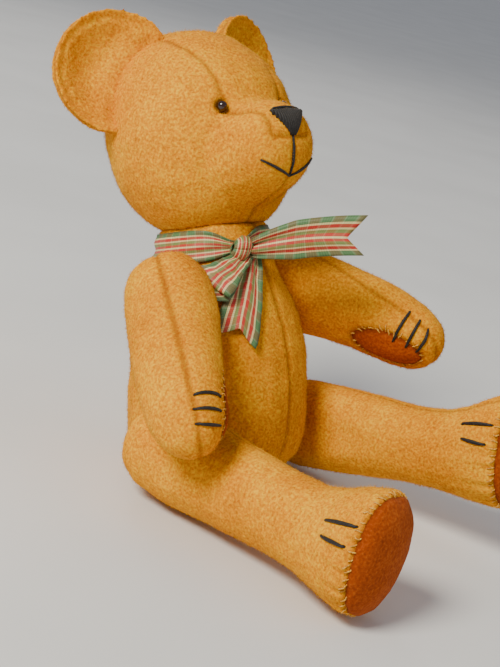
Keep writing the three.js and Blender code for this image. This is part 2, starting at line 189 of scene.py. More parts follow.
def swollen(node, by):
    """The node's vertices and faces, welded, and moved out along their normals."""
    bm = bmesh.new()
    bm.from_mesh(nodes[node].data)
    bmesh.ops.remove_doubles(bm, verts=bm.verts, dist=1e-6)
    bm.normal_update()
    verts = [v.co + v.normal * by for v in bm.verts]
    faces = [[v.index for v in f.verts] for f in bm.faces]
    bm.free()
    return verts, faces


def joined(name, members):
    """One mesh of several nodes, each swollen so that they close onto each other."""
    verts, faces = [], []
    for node in members:
        v, f = swollen(node, SHOW_GAP)
        faces += [[i + len(verts) for i in face] for face in f]
        verts += v
    return new_object(name, verts, faces)


def applied(obj):
    """The object with its modifiers applied."""
    bpy.context.view_layer.update()
    mesh = bpy.data.meshes.new_from_object(obj.evaluated_get(bpy.context.evaluated_depsgraph_get()))
    obj.modifiers.clear()
    obj.data = mesh
    return obj


def remeshed(obj, voxel):
    mod = obj.modifiers.new("remesh", "REMESH")
    mod.mode = "VOXEL"
    mod.voxel_size = voxel
    return applied(obj)


def keep_largest(obj):
    """Drops the small closed hollows that the remesh leaves inside."""
    bm = bmesh.new()
    bm.from_mesh(obj.data)
    seen, groups = set(), []
    for start in bm.verts:
        if start in seen:
            continue
        group, todo = [], [start]
        seen.add(start)
        while todo:
            v = todo.pop()
            group.append(v)
            for e in v.link_edges:
                o = e.other_vert(v)
                if o not in seen:
                    seen.add(o)
                    todo.append(o)
        groups.append(group)
    groups.sort(key=len)
    for group in groups[:-1]:
        bmesh.ops.delete(bm, geom=group, context="VERTS")
    bm.to_mesh(obj.data)
    bm.free()
    return obj


def coords(obj):
    co = np.empty(len(obj.data.vertices) * 3)
    obj.data.vertices.foreach_get("co", co)
    return co.reshape(-1, 3)


def set_coords(obj, co):
    obj.data.vertices.foreach_set("co", np.asarray(co).ravel())
    obj.data.update()


def normals(obj):
    n = np.empty(len(obj.data.vertices) * 3)
    obj.data.vertex_normals.foreach_get("vector", n)
    return n.reshape(-1, 3)


def smoothed(obj, rounds):
    """Taubin smoothing, which rounds the facets off and keeps the volume."""
    edges = np.empty(len(obj.data.edges) * 2, int)
    obj.data.edges.foreach_get("vertices", edges)
    a, b = edges.reshape(-1, 2).T
    co = coords(obj)
    count = np.bincount(np.concatenate([a, b]), minlength=len(co))[:, None]
    for _ in range(rounds):
        for step in (0.6, -0.62):
            total = np.zeros_like(co)
            for k in range(3):
                total[:, k] = np.bincount(a, co[b, k], len(co)) + np.bincount(b, co[a, k], len(co))
            co += step * (total / count - co)
    set_coords(obj, co)
    return obj


def simulated(proxy):
    """Where the proxy's vertices go when air pressure fills it out as cloth. It runs enlarged."""
    set_coords(proxy, coords(proxy) * PROXY_SCALE)
    cloth = proxy.modifiers.new("cloth", "CLOTH")
    cloth.settings.quality = 6
    cloth.settings.use_pressure = True
    cloth.settings.uniform_pressure_force = 4
    cloth.settings.tension_stiffness = 12
    cloth.settings.compression_stiffness = 12
    cloth.settings.bending_stiffness = 0.4
    cloth.settings.effector_weights.gravity = 0
    cloth.point_cache.frame_end = PROXY_FRAMES
    for step in range(1, PROXY_FRAMES + 1):
        bpy.context.scene.frame_set(step)
    moved = coords(applied(proxy)) / PROXY_SCALE
    bpy.context.scene.frame_set(1)
    return moved


def filled_out(obj, voxel):
    """Runs the pressure simulation on a coarse copy, and moves the fine skin with it, up to a cap."""
    proxy = bpy.data.objects.new(obj.name + "_proxy", obj.data.copy())
    bpy.context.scene.collection.objects.link(proxy)
    smoothed(remeshed(proxy, voxel), 2)
    before, out = coords(proxy), normals(proxy)
    moved = simulated(proxy) - before
    along = (moved * out).sum(axis=1)
    moved -= out * np.median(along)
    size = np.linalg.norm(moved, axis=1)[:, None]
    moved *= np.minimum(1, FILL_CAP / np.maximum(size, 1e-9))
    tree = KDTree(len(before))
    for i, point in enumerate(before):
        tree.insert(Vector(point), i)
    tree.balance()
    co = coords(obj)
    for i, point in enumerate(co.copy()):
        near = tree.find_n(Vector(point), 6)
        weight = np.array([1 / (d * d + 1e-7) for _, _, d in near])
        co[i] += (moved[[k for _, k, _ in near]] * weight[:, None]).sum(axis=0) / weight.sum()
    set_coords(obj, co)
    bpy.data.objects.remove(proxy)
    return obj


def surface(obj):
    mesh = obj.data
    return BVHTree.FromPolygons([v.co.copy() for v in mesh.vertices],
                                [tuple(p.vertices) for p in mesh.polygons])


def node_surface(node):
    return surface(nodes[node])


def panel_distances(co, panels):
    """The distance from each point to each panel, one column a panel."""
    trees = [node_surface(n) for n in panels]
    return np.array([[tree.find_nearest(p)[3] for tree in trees] for p in (Vector(c) for c in co)])


def set_attribute(obj, name, values):
    attribute = obj.data.attributes.new(name, "FLOAT", "POINT")
    attribute.data.foreach_set("value", np.asarray(values, np.float32))


def lumps(co, offset):
    """Low, soft unevenness, as in a hand-stuffed toy."""
    out = []
    for point in co:
        at = Vector(point) / MM + Vector((offset, 0, 0))
        out.append(sum(height * noise.noise(at / size) for height, size in (BROAD_LUMPS, SMALL_LUMPS)))
    return np.array(out)


# Materials ----
def linear(rgb):
    return [c / 12.92 if c <= 0.04045 else ((c + 0.055) / 1.055) ** 2.4 for c in rgb] + [1]


def shader(name, roughness, sheen=0.0, coat=0.0, specular=0.5, metallic=0.0):
    """A new material, its nodes, and its shader with the uniform values set."""
    mat = bpy.data.materials.new(name)
    mat.use_nodes = True
    bsdf = mat.node_tree.nodes["Principled BSDF"]
    bsdf.inputs["Roughness"].default_value = roughness
    bsdf.inputs["Metallic"].default_value = metallic
    bsdf.inputs["Sheen Weight"].default_value = sheen
    bsdf.inputs["Sheen Roughness"].default_value = 0.5
    bsdf.inputs["Sheen Tint"].default_value = linear((1.0, 0.82, 0.55))
    bsdf.inputs["Coat Weight"].default_value = coat
    bsdf.inputs["Specular IOR Level"].default_value = specular
    return mat, mat.node_tree, bsdf


def noise_node(tree, coordinate, scale, detail=3.0):
    node = tree.nodes.new("ShaderNodeTexNoise")
    node.inputs["Scale"].default_value = scale
    node.inputs["Detail"].default_value = detail
    tree.links.new(coordinate, node.inputs["Vector"])
    return node.outputs["Fac"]


def ramp(tree, value, stops, steps=False):
    node = tree.nodes.new("ShaderNodeValToRGB")
    if steps:
        node.color_ramp.interpolation = "CONSTANT"
    elements = node.color_ramp.elements
    while len(elements) < len(stops):
        elements.new(0.5)
    for element, (at, colour) in zip(elements, stops):
        element.position = at
        element.color = linear(colour)
    tree.links.new(value, node.inputs["Fac"])
    return node.outputs["Color"]


def mixed(tree, kind, amount, a, b):
    node = tree.nodes.new("ShaderNodeMix")
    node.data_type = "RGBA"
    node.blend_type = kind
    for socket, value in ((node.inputs[0], amount), (node.inputs[6], a), (node.inputs[7], b)):
        if isinstance(value, bpy.types.NodeSocket):
            tree.links.new(value, socket)
        elif isinstance(value, (int, float)):
            socket.default_value = value
        else:
            socket.default_value = linear(value)
    return node.outputs[2]


def math_node(tree, operation, a, b=0.0, clamp=False):
    node = tree.nodes.new("ShaderNodeMath")
    node.operation = operation
    node.use_clamp = clamp
    for socket, value in ((node.inputs[0], a), (node.inputs[1], b)):
        if isinstance(value, bpy.types.NodeSocket):
            tree.links.new(value, socket)
        else:
            socket.default_value = value
    return node.outputs[0]


def bump(tree, bsdf, height, strength, distance):
    node = tree.nodes.new("ShaderNodeBump")
    node.inputs["Strength"].default_value = strength
    node.inputs["Distance"].default_value = distance
    tree.links.new(height, node.inputs["Height"])
    tree.links.new(node.outputs["Normal"], bsdf.inputs["Normal"])


def object_coordinate(tree):
    return tree.nodes.new("ShaderNodeTexCoord").outputs["Object"]


def pile_material(name, dark, middle, light, seam_shade_colour):
    """Short wool pile or felt: fine grain over broad patches, and painted shade that darkens it in the
    sunk seams.
    """
    mat, tree, bsdf = shader(name, 0.92, sheen=0.06, specular=0.1)
    at = object_coordinate(tree)
    grain = noise_node(tree, at, 1500, 3)
    patch = noise_node(tree, at, 70, 2)
    both = math_node(tree, "ADD", math_node(tree, "MULTIPLY", grain, 0.7),
                     math_node(tree, "MULTIPLY", patch, 0.3))
    colour = ramp(tree, both, [(0.3, dark), (0.5, middle), (0.68, light)])
    # Painted shade: along the sunk seams the colour is darkened towards the seam colour, as if the crease
    # were in shade.
    seam = tree.nodes.new("ShaderNodeAttribute")
    seam.attribute_name = "seam"
    amount = math_node(tree, "MULTIPLY", seam.outputs["Fac"], 0.6, clamp=True)
    tree.links.new(mixed(tree, "MIX", amount, colour, seam_shade_colour), bsdf.inputs["Base Color"])
    bump(tree, bsdf, math_node(tree, "ADD", grain, noise_node(tree, at, 520, 2)), 0.55, 0.35 * MM)
    return mat


def plain_material(name, colour):
    mat, _, bsdf = shader(name, 0.9, specular=0.1)
    bsdf.inputs["Base Color"].default_value = linear(colour)
    return mat


def mottled_material(name, roughness, scale, detail, tones, relief=None, **shading):
    """A material whose colour wanders between two tones, each given with its place on the ramp."""
    mat, tree, bsdf = shader(name, roughness, **shading)
    wander = noise_node(tree, object_coordinate(tree), scale, detail)
    tree.links.new(ramp(tree, wander, tones), bsdf.inputs["Base Color"])
    if relief:
        bump(tree, bsdf, wander, *relief)
    return mat


def thread_material(name, dark, light):
    return mottled_material(name, 0.62, 2600, 3, [(0.3, dark), (0.7, light)], (0.4, 0.12 * MM),
                            sheen=0.1, specular=0.35)


def ribbon_material():
    """Woven tartan: lengthwise stripes from v, crossed by wider blocks from u, which is in mm."""
    mat, tree, bsdf = shader("tartan_ribbon", 0.5, specular=0.35)
    uv = tree.nodes.new("ShaderNodeUVMap")
    uv.uv_map = "UVMap"
    parts = tree.nodes.new("ShaderNodeSeparateXYZ")
    tree.links.new(uv.outputs["UV"], parts.inputs[0])
    along, across = parts.outputs[0], parts.outputs[1]
    cream, green = (0.97, 0.9, 0.62), (0.24, 0.46, 0.27)
    olive, red = (0.5, 0.55, 0.26), (0.82, 0.13, 0.1)
    stripes = [(0.0, green), (0.14, cream), (0.185, red), (0.27, cream), (0.315, olive), (0.4, red),
               (0.475, cream), (0.525, red), (0.6, olive), (0.685, cream), (0.73, red), (0.815, cream),
               (0.86, green)]
    base = ramp(tree, across, stripes, steps=True)
    beat = math_node(tree, "FRACT", math_node(tree, "MULTIPLY", along, 1 / 4.6))
    pale = (0.85, 0.82, 0.64)
    blocks = ramp(tree, beat, [(0.0, (0.85, 0.42, 0.33)), (0.42, pale), (0.5, (0.6, 0.66, 0.46)),
                               (0.92, pale)], steps=True)
    colour = mixed(tree, "MIX", 0.22, base, blocks)
    ribs = math_node(tree, "SINE", math_node(tree, "MULTIPLY", along, 2 * math.pi / 0.5))
    wefts = math_node(tree, "SINE", math_node(tree, "MULTIPLY", across, 2 * math.pi * 30))
    weave = math_node(tree, "MULTIPLY", math_node(tree, "ADD", ribs, wefts), 0.25)
    shade = ramp(tree, math_node(tree, "ADD", weave, 0.5), [(0.0, (0.55, 0.55, 0.55)), (1.0, (1, 1, 1))])
    tree.links.new(mixed(tree, "MULTIPLY", 0.6, colour, shade), bsdf.inputs["Base Color"])
    bump(tree, bsdf, weave, 0.35, 0.12 * MM)
    return mat


# The last colour of each is the painted shade in its sunk seams.
PLUSH = pile_material("gold_plush", (0.74, 0.4, 0.01), (0.89, 0.57, 0.035), (0.98, 0.74, 0.12),
                      (0.5, 0.22, 0.02))
FELT = pile_material("rust_felt", (0.52, 0.2, 0.04), (0.64, 0.27, 0.06), (0.73, 0.36, 0.1),
                     (0.36, 0.14, 0.03))
FIBRES = [plain_material("gold_fibre_1", (0.93, 0.62, 0.06)),
          plain_material("gold_fibre_2", (0.99, 0.75, 0.19)),
          plain_material("gold_fibre_3", (0.81, 0.44, 0.02))]
THREAD = thread_material("black_thread", (0.05, 0.048, 0.05), (0.17, 0.165, 0.165))
GOLD_THREAD = thread_material("gold_thread", (0.62, 0.36, 0.08), (0.96, 0.74, 0.3))
BEAD = mottled_material("glass_bead", 0.08, 500, 1,
                        [(0.35, (0.06, 0.025, 0.02)), (0.75, (0.2, 0.09, 0.06))], coat=0.6)
BOARD = mottled_material("pressed_board", 0.8, 800, 4,
                         [(0.3, (0.42, 0.3, 0.18)), (0.7, (0.6, 0.46, 0.3))], (0.3, 0.1 * MM),
                         specular=0.25)
STEEL = mottled_material("plain_steel", 0.35, 700, 3,
                         [(0.3, (0.5, 0.5, 0.51)), (0.7, (0.68, 0.68, 0.69))], metallic=1)
PAPER = mottled_material("pale_paper", 0.85, 14, 2,
                         [(0.3, (0.86, 0.855, 0.84)), (0.7, (0.885, 0.88, 0.865))], specular=0.2)
RIBBON = ribbon_material()


# Plush and pads ----
def cut_along(obj, values):
    """Cuts the mesh where the values change sign, and gives back the faces' signs."""
    bm = bmesh.new()
    bm.from_mesh(obj.data)
    bm.verts.ensure_lookup_table()
    side = bm.verts.layers.float.new("side")
    for v, value in zip(bm.verts, values):
        v[side] = value if abs(value) > 2e-5 else 2e-5
    crossing = [e for e in bm.edges if e.verts[0][side] * e.verts[1][side] < 0]
    made = []
    for edge in crossing:
        a, b = edge.verts
        fac = a[side] / (a[side] - b[side])
        _, v = bmesh.utils.edge_split(edge, a, fac)
        v[side] = 0
        made.append(v)
    bmesh.ops.connect_verts(bm, verts=made)
    inside = [f for f in bm.faces if sum(v[side] for v in f.verts) < 0]
    return bm, inside


def split_pad(obj, values, name):
    """Moves the faces with a negative value into an object of their own."""
    bm, inside = cut_along(obj, values)
    marked = set(inside)
    pad = bm.copy()
    flags = [f in marked for f in bm.faces]
    bmesh.ops.delete(bm, geom=[f for f, m in zip(bm.faces, flags) if m], context="FACES")
    bmesh.ops.delete(pad, geom=[f for f, m in zip(list(pad.faces), flags) if not m], context="FACES")
    mesh = bpy.data.meshes.new(name)
    pad.to_mesh(mesh)
    bm.to_mesh(obj.data)
    pad.free()
    bm.free()
    felt = bpy.data.objects.new(name, mesh)
    bpy.context.scene.collection.objects.link(felt)
    return felt


def thickened(obj):
    """Gives an open skin its thickness, inwards, so that it is a closed piece."""
    mod = obj.modifiers.new("thickness", "SOLIDIFY")
    mod.thickness = SKIN_THICK
    mod.offset = -1
    return obj


def finish_piece(obj, material, body, replaced=()):
    obj.data.materials.clear()
    obj.data.materials.append(material)
    obj.data.polygons.foreach_set("use_smooth", [True] * len(obj.data.polygons))
    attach(obj, body)
    if replaced:
        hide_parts(*replaced)
    return obj


def pad_relief(co, n, to_pad, to_skin, dome, pucker):
    """How far out each point goes: the pad domes, and the skin sewn to it puckers."""
    on_pad = to_pad < to_skin
    middle = co[on_pad].mean(axis=0)
    facing = n[on_pad].mean(axis=0)
    one = np.cross(facing, (0.3, 0.5, 0.8))
    one /= np.linalg.norm(one)
    two = np.cross(facing, one) / np.linalg.norm(facing)
    turn = np.arctan2((co - middle) @ two, (co - middle) @ one)
    waves = np.sin(19 * turn) + 0.7 * np.sin(31 * turn + 1.3)
    out = np.where(on_pad, 0, pucker * waves * np.exp(-to_pad / PUCKER_REACH))
    return out + np.where(on_pad, dome * (1 - np.exp(-to_skin / DOME_REACH)), 0)


def cupped(obj, head):
    """Hollows an ear by moving its middle back, and pulls its base into the head it is sewn to."""
    co = coords(obj)
    away = co - co.mean(axis=0)
    facing = np.linalg.svd(away, full_matrices=False)[2][2]
    facing *= -np.sign(facing[1])
    radius = np.linalg.norm(away - np.outer(away @ facing, facing), axis=1)
    share = 1 - (radius / radius.max()) ** 2
    near = [head.find_nearest(Vector(p)) for p in co]
    gap = np.array([found[3] for found in near])
    inwards = -np.array([found[1] for found in near])
    share *= 1 - np.exp(-((gap / EAR_BASE) ** 2))
    pull = EAR_PULL[0] * np.exp(-((gap / EAR_PULL[1]) ** 2))
    set_coords(obj, co - np.outer(share, facing) * EAR_CUP + inwards * pull[:, None])


def sunk_at_eyes(co):
    """How far the head's skin is drawn in round the eyes."""
    depth = np.zeros(len(co))
    for node in ("eye_left", "eye_right"):
        low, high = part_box(node)
        away = np.linalg.norm(co - np.array((low + high) / 2), axis=1)
        depth += EYE_HOLLOW[0] * np.exp(-((away / EYE_HOLLOW[1]) ** 2))
    return depth


def plush(name, body, panels, inside, rounds, offset=0, pad=None, relief=(0, 0), head=None,
          clear_of=()):
    """One stuffed part: its panels as one skin, with sunk seams, and its pad cut out as felt.

    An ear has nothing inside, and the head's surface is given for it. Offset shifts the lumps.
    """
    obj = joined(name, panels + inside)
    keep_largest(remeshed(obj, PLUSH_VOXEL if inside else EAR_VOXEL))
    smoothed(obj, rounds)
    filled_out(obj, PROXY_VOXEL if inside else EAR_PROXY_VOXEL)
    co, n = coords(obj), normals(obj)
    far = panel_distances(co, panels)
    order = np.sort(far, axis=1)
    seam = np.exp(-(((order[:, 1] - order[:, 0]) / SEAM_WIDTH) ** 2))
    out = lumps(co, offset) - SEAM_DEPTH * seam
    if pad:
        k = panels.index(pad)
        others = np.delete(far, k, axis=1).min(axis=1)
        out += pad_relief(co, n, far[:, k], others, *relief)
    if body == "head":
        out -= sunk_at_eyes(co)
    rest = co + n * out[:, None]
    set_coords(obj, rest)
    if head:
        cupped(obj, head)
    set_attribute(obj, "seam", seam)
    soft = surface(obj)
    if pad:
        felt = split_pad(obj, far[:, k] - others, pad + "_felt")
        finish_piece(thickened(felt), FELT, body, [pad])
        count = FOOT_STITCHES if "foot" in pad else PAW_STITCHES
        pad_stitches(pad + "_stitches", body, soft, rest, n, far[:, k], others, count)
        thickened(obj)
    stuffing = [n for n in inside if n.endswith("stuffing")]
    finish_piece(obj, PLUSH, body, [n for n in panels if n != pad] + stuffing)
    fibres(name + "_nap", obj, body, clear_of)
    return soft


def swept(points, body):
    """How far points lie from the axis of an arm's joint, and along it, whatever the arm's angle."""
    joint = joints[body.replace("arm", "shoulder") + "_swing"]
    axis = Vector(joint["axis"]).normalized()
    apart = np.asarray(points) - np.array(joint["pos_m"])
    along = apart @ np.array(axis)
    across = np.linalg.norm(apart - np.outer(along, axis), axis=1)
    return np.stack([across, along, np.zeros(len(along))], axis=1)


def brushes(tips, body, others):
    """Which fibre tips would touch the other pieces somewhere in a full turn of their arm."""
    points = np.concatenate([swept(coords(o), body) for o in others])
    tree = KDTree(len(points))
    for i, point in enumerate(points):
        tree.insert(point, i)
    tree.balance()
    return np.array([tree.find(tip)[2] < FIBRE_CLEAR for tip in swept(tips, body)])


def scattered(obj):
    """Random roots over a skin, away from its seams, and the skin's normal at each."""
    mesh = obj.data
    mesh.calc_loop_triangles()
    tris = np.array([t.vertices[:] for t in mesh.loop_triangles])
    co, n = coords(obj), normals(obj)
    seam = np.empty(len(co), np.float32)
    mesh.attributes["seam"].data.foreach_get("value", seam)
    a, b, c = co[tris[:, 0]], co[tris[:, 1]], co[tris[:, 2]]
    area = np.linalg.norm(np.cross(b - a, c - a), axis=1) / 2
    count = int(area.sum() / MM ** 2 * FIBRES_PER_MM2)
    pick = rng.choice(len(tris), count, p=area / area.sum())
    u, v = rng.random(count), rng.random(count)
    flip = u + v > 1
    u[flip], v[flip] = 1 - u[flip], 1 - v[flip]
    w = np.stack([1 - u - v, u, v], axis=1)
    root = (co[tris[pick]] * w[:, :, None]).sum(axis=1)
    up = (n[tris[pick]] * w[:, :, None]).sum(axis=1)
    up /= np.linalg.norm(up, axis=1)[:, None]
    keep = (seam[tris[pick]] * w).sum(axis=1) < 0.55
    return root[keep], up[keep]


def spikes(name, points, up):
    """One mesh of thin closed spikes, from the three base points and the tip of each."""
    count = len(up)
    corners = np.array([[0, 2, 1], [0, 1, 3], [1, 2, 3], [2, 0, 3]])
    corners = (np.arange(count)[:, None, None] * 4 + corners).ravel()
    out = bpy.data.meshes.new(name)
    out.vertices.add(count * 4)
    out.vertices.foreach_set("co", np.stack(points, axis=1).ravel())
    out.loops.add(len(corners))
    out.loops.foreach_set("vertex_index", corners)
    out.polygons.add(count * 4)
    out.polygons.foreach_set("loop_start", np.arange(count * 4) * 3)
    tones = rng.choice(3, count, p=[0.45, 0.3, 0.25])
    out.polygons.foreach_set("material_index", np.repeat(tones, 4))
    out.update(calc_edges=True)
    for material in FIBRES:
        out.materials.append(material)
    out.polygons.foreach_set("use_smooth", [True] * count * 4)
    out.normals_split_custom_set(np.repeat(up, 12, axis=0).tolist())
    obj = bpy.data.objects.new(name, out)
    bpy.context.scene.collection.objects.link(obj)
    return obj


def fibres(name, obj, body, clear_of):
    """Short wool fibres standing on the plush, which shade like the skin under them."""
    root, up = scattered(obj)
    lay = np.array(FIBRE_COMB) + rng.normal(0, 0.75, root.shape)
    way = up * 0.55 + (lay - up * (lay * up).sum(axis=1)[:, None]) * 0.8
    way /= np.linalg.norm(way, axis=1)[:, None]
    length = rng.uniform(*FIBRE_LENGTH, len(root))[:, None]
    tips = root + way * length
    keep = tips[:, 2] > 0
    if clear_of:
        keep &= ~brushes(tips, body, clear_of)
    root, up, way, length = root[keep], up[keep], way[keep], length[keep]
    side = np.cross(way, rng.normal(0, 1, root.shape))
    side /= np.linalg.norm(side, axis=1)[:, None]
    other = np.cross(way, side)
    wide = rng.uniform(*FIBRE_HALF_WIDTH, len(root))[:, None]
    base = root - up * FIBRE_ROOT
    thirds = ((1, 0), (-0.5, 0.866), (-0.5, -0.866))
    points = [base + (side * c + other * s) * wide for c, s in thirds]
    nap = spikes(name, points + [base + way * length], up)
    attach(nap, body)


# Thread ----
def ring_faces(rings, sides, flip=False):
    """The faces that join rings of points, each to the next, into a tube."""
    faces = []
    for i in range(rings - 1):
        for k in range(sides):
            m = (k + 1) % sides
            face = [i * sides + k, i * sides + m, (i + 1) * sides + m, (i + 1) * sides + k]
            faces.append([face[0], face[3], face[2], face[1]] if flip else face)
    return faces


def stitch(points, radius):
    """Vertices and faces of a closed thread along the points, thinner towards its ends."""
    verts = []
    last = len(points) - 1
    one = (points[1] - points[0]).orthogonal()
    for i, point in enumerate(points):
        along = (points[min(i + 1, last)] - points[max(i - 1, 0)]).normalized()
        one = (one - along * one.dot(along)).normalized()
        two = along.cross(one)
        share = min(max(i / last, 0.12), 0.88)
        wide = radius * (0.55 + 0.45 * math.sin(math.pi * share))
        for k in range(THREAD_SIDES):
            a = 2 * math.pi * k / THREAD_SIDES
            verts.append(point + (one * math.cos(a) + two * math.sin(a)) * wide)
    faces = ring_faces(len(points), THREAD_SIDES)
    faces.append(list(range(THREAD_SIDES))[::-1])
    faces.append([last * THREAD_SIDES + k for k in range(THREAD_SIDES)])
    return verts, faces


def threads(name, strokes, body, replaced=(), material=None):
    """One piece made of several threads, each given by its points and its radius."""
    verts, faces = [], []
    for points, radius in strokes:
        v, f = stitch(points, radius)
        faces += [[i + len(verts) for i in face] for face in f]
        verts += v
    obj = new_object(name, verts, faces)
    return finish_piece(obj, material or THREAD, body, replaced)


def on_surface(tree, points, lift):
    """The points moved to the surface, with the ends pushed into it."""
    out = []
    last = len(points) - 1
    for i, p in enumerate(points):
        at, normal, _, _ = tree.find_nearest(p)
        up = lift if 0 < i < last else -0.35 * MM
        out.append(at + normal * up)
    return out


def pad_stitches(name, body, tree, co, n, to_pad, to_skin, count):
    """Slanting stitches of gold thread over the seam that holds a pad."""
    rim = co[np.abs(to_pad - to_skin) < 0.45 * MM]
    facing = n[to_pad < to_skin].mean(axis=0)
    facing /= np.linalg.norm(facing)
    away = rim - rim.mean(axis=0)
    away -= np.outer(away @ facing, facing)
    one = away[0] / np.linalg.norm(away[0])
    turn = np.arctan2(away @ np.cross(facing, one), away @ one)
    strokes = []
    for i in range(count):
        angle = -math.pi + 2 * math.pi * (i + 0.5) / count
        k = np.abs((turn - angle + math.pi) % (2 * math.pi) - math.pi).argmin()
        out = away[k] / np.linalg.norm(away[k])
        along = np.cross(facing, out) * rng.uniform(0.1, 0.6)
        skin_end = rim[k] + (out * 0.7 - facing * rng.uniform(1.1, 1.7) + along) * MM
        pad_end = rim[k] - (out * rng.uniform(0.7, 1.1) + along) * MM
        path = [Vector(skin_end).lerp(Vector(pad_end), t / 6) for t in range(7)]
        strokes.append((on_surface(tree, path, 0.22 * MM), 0.2 * MM))
    threads(name, strokes, body, material=GOLD_THREAD)


def long_ends(node):
    """One far end of a bar-shaped node, its middle, and its other end."""
    co = np.array([v.co for v in nodes[node].data.vertices])
    middle = (co.min(axis=0) + co.max(axis=0)) / 2
    axes = np.linalg.svd(co - co.mean(axis=0), full_matrices=False)[2]
    along = (co - middle) @ axes[0]
    ends = [co[along > 0.6 * along.max()].mean(axis=0), co[along < 0.6 * along.min()].mean(axis=0)]
    return Vector(ends[0]), Vector(middle), Vector(ends[1])


def claws(tree, body, names, radius):
    """Each claw as one long black stitch, along the CAD claw and a little past its ends."""
    for name in names:
        a, m, b = long_ends(name)
        bow = m - (a + b) / 2
        path = [a.lerp(b, t / 8) + bow * (1 - (t / 4 - 1) ** 2) for t in range(9)]
        path = [a + (a - b) * 0.12] + path + [b + (b - a) * 0.12]
        threads(name + "_stitch", [(on_surface(tree, path, 0.28 * MM), radius)], body, [name])


# The bear's parts ----
def build_body():
    panels = ["body_skin_left", "body_skin_right"]
    inside = ["body_stuffing", "neck_disc_in_body"]
    inside += [f"{j}_{s}_disc_in_body" for j in ("shoulder", "hip") for s in ("left", "right")]
    return plush("body_plush", "torso", panels, inside, 26)


def build_head():
    panels = ["head_gusset", "head_skin_left", "head_skin_right"]
    return plush("head_plush", "head", panels, ["head_stuffing", "neck_disc"], 22, offset=40)


def build_ear(side, head):
    panels = [f"ear_front_{side}", f"ear_back_{side}"]
    plush(f"ear_{side}_plush", "head", panels, [], 8, offset=80, head=head)


def build_limb(kind, side, offset, clear_of=()):
    """An arm or a leg, with its pad and claws."""
    limb = LIMBS[kind]
    body = f"{kind}_{side}"
    pad = f"{body}_{limb['pad']}"
    panels = [f"{body}_skin_outer", f"{body}_skin_inner", pad]
    inside = [f"{body}_stuffing", f"{limb['joint']}_{side}_disc"]
    tree = plush(f"{body}_plush", body, panels, inside, 22, offset, pad, limb["relief"], None, clear_of)
    claws(tree, body, [f"{body}_claw_{i + 1}" for i in range(limb["claws"])], limb["claw_radius"])


def face_point(tree, x, z, lift):
    """The point of the head's front at x and z of its own frame, in mm."""
    origin, across, back, up = head_axes()
    start = origin + (across * x + up * z - back * 60) * MM
    at, normal, _, _ = tree.ray_cast(start, back)
    return at + normal * lift * MM


def build_nose(tree):
    """Upright satin stitches in a triangle, with a thread laid along each of its edges."""
    strokes = []
    for i in range(NOSE_STITCHES):
        x = NOSE_HALF * (2 * i / (NOSE_STITCHES - 1) - 1)
        high = NOSE_TOP - 0.4 * abs(x) / NOSE_HALF
        low = NOSE_FOOT + max(0.0, abs(x) - NOSE_POINT) * NOSE_CORNER / (NOSE_HALF - NOSE_POINT)
        heights = [high + 0.15, high - 0.1] + [high + (low - high) * t for t in (0.25, 0.5, 0.75)]
        heights += [low + 0.1, low - 0.15]
        lifts = [-0.3, 0.32, 0.5, 0.55, 0.5, 0.32, -0.3]
        strokes.append(([face_point(tree, x, z, up) for z, up in zip(heights, lifts)], 0.46 * MM))
    rim = [(-4.7, 25.7), (-3.7, 26.3), (-1.8, 26.5), (0, 26.55), (1.8, 26.5), (3.7, 26.3), (4.7, 25.7)]
    strokes.append(([face_point(tree, x, z, 0.35) for x, z in rim], 0.36 * MM))
    for side in (-1, 1):
        edge = [(side * (4.75 - 4.2 * t / 8), 25.9 - 6.1 * t / 8) for t in range(9)]
        strokes.append(([face_point(tree, x, z, 0.3) for x, z in edge], 0.4 * MM))
    threads("nose_satin_stitch", strokes, "head", ["nose_stitching"])


def build_mouth(tree):
    """A line down from the nose, and a wide V of two curved lines."""
    fall = NOSE_FOOT - MOUTH_LOW
    drop = [face_point(tree, 0, NOSE_FOOT - fall * t / 10, 0.2) for t in range(11)]
    strokes = [(drop, 0.42 * MM)]
    for side in (-1, 1):
        smile = []
        for t in range(11):
            s = t / 10
            height = MOUTH_LOW + MOUTH_RISE * s ** 1.25
            smile.append(face_point(tree, side * MOUTH_HALF * s, height, 0.2))
        strokes.append((smile, 0.4 * MM))
    threads("mouth_stitch", strokes, "head", ["mouth_stitching"])


def build_eye(side):
    """A turned glass bead on a short shank, sunk a little into the plush."""
    low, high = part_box(f"eye_{side}")
    middle = (low + high) / 2
    radius = 0.86 * max(high - low) / 2
    _, across, back, up = head_axes()
    verts = []
    profile = [(0.0, 1.02), (0.3, 0.97), (0.58, 0.8), (0.8, 0.56), (0.94, 0.26), (0.98, 0), (0.9, -0.3),
               (0.72, -0.55), (0.42, -0.74), (0.3, -0.85), (0.3, -1.1)]
    sides = 28
    for r, h in profile:
        for k in range(sides):
            a = 2 * math.pi * k / sides
            out = across * math.cos(a) * r + up * math.sin(a) * r - back * h
            verts.append(middle + out * radius)
    obj = new_object(f"eye_{side}_bead", verts, ring_faces(len(profile), sides, flip=True))
    finish_piece(obj, BEAD, "head", [f"eye_{side}"])


# Ribbon ----
def strip(rows, column=RIBBON_COLUMNS // 2):
    """Vertices, faces and UVs of a ribbon given by its cross rows.

    V goes from 0 to 1 across it, and U is the length in mm along the given column.
    """
    lengths = [0.0]
    for before, after in zip(rows, rows[1:]):
        lengths.append(lengths[-1] + (after[column] - before[column]).length / MM)
    wide = len(rows[0])
    verts = [point for row in rows for point in row]
    uvs = [(u, k / (wide - 1)) for u in lengths for k in range(wide)]
    faces = []
    for i in range(len(rows) - 1):
        for k in range(wide - 1):
            a = i * wide + k
            faces.append([a, a + 1, a + wide + 1, a + wide])
    return verts, faces, uvs


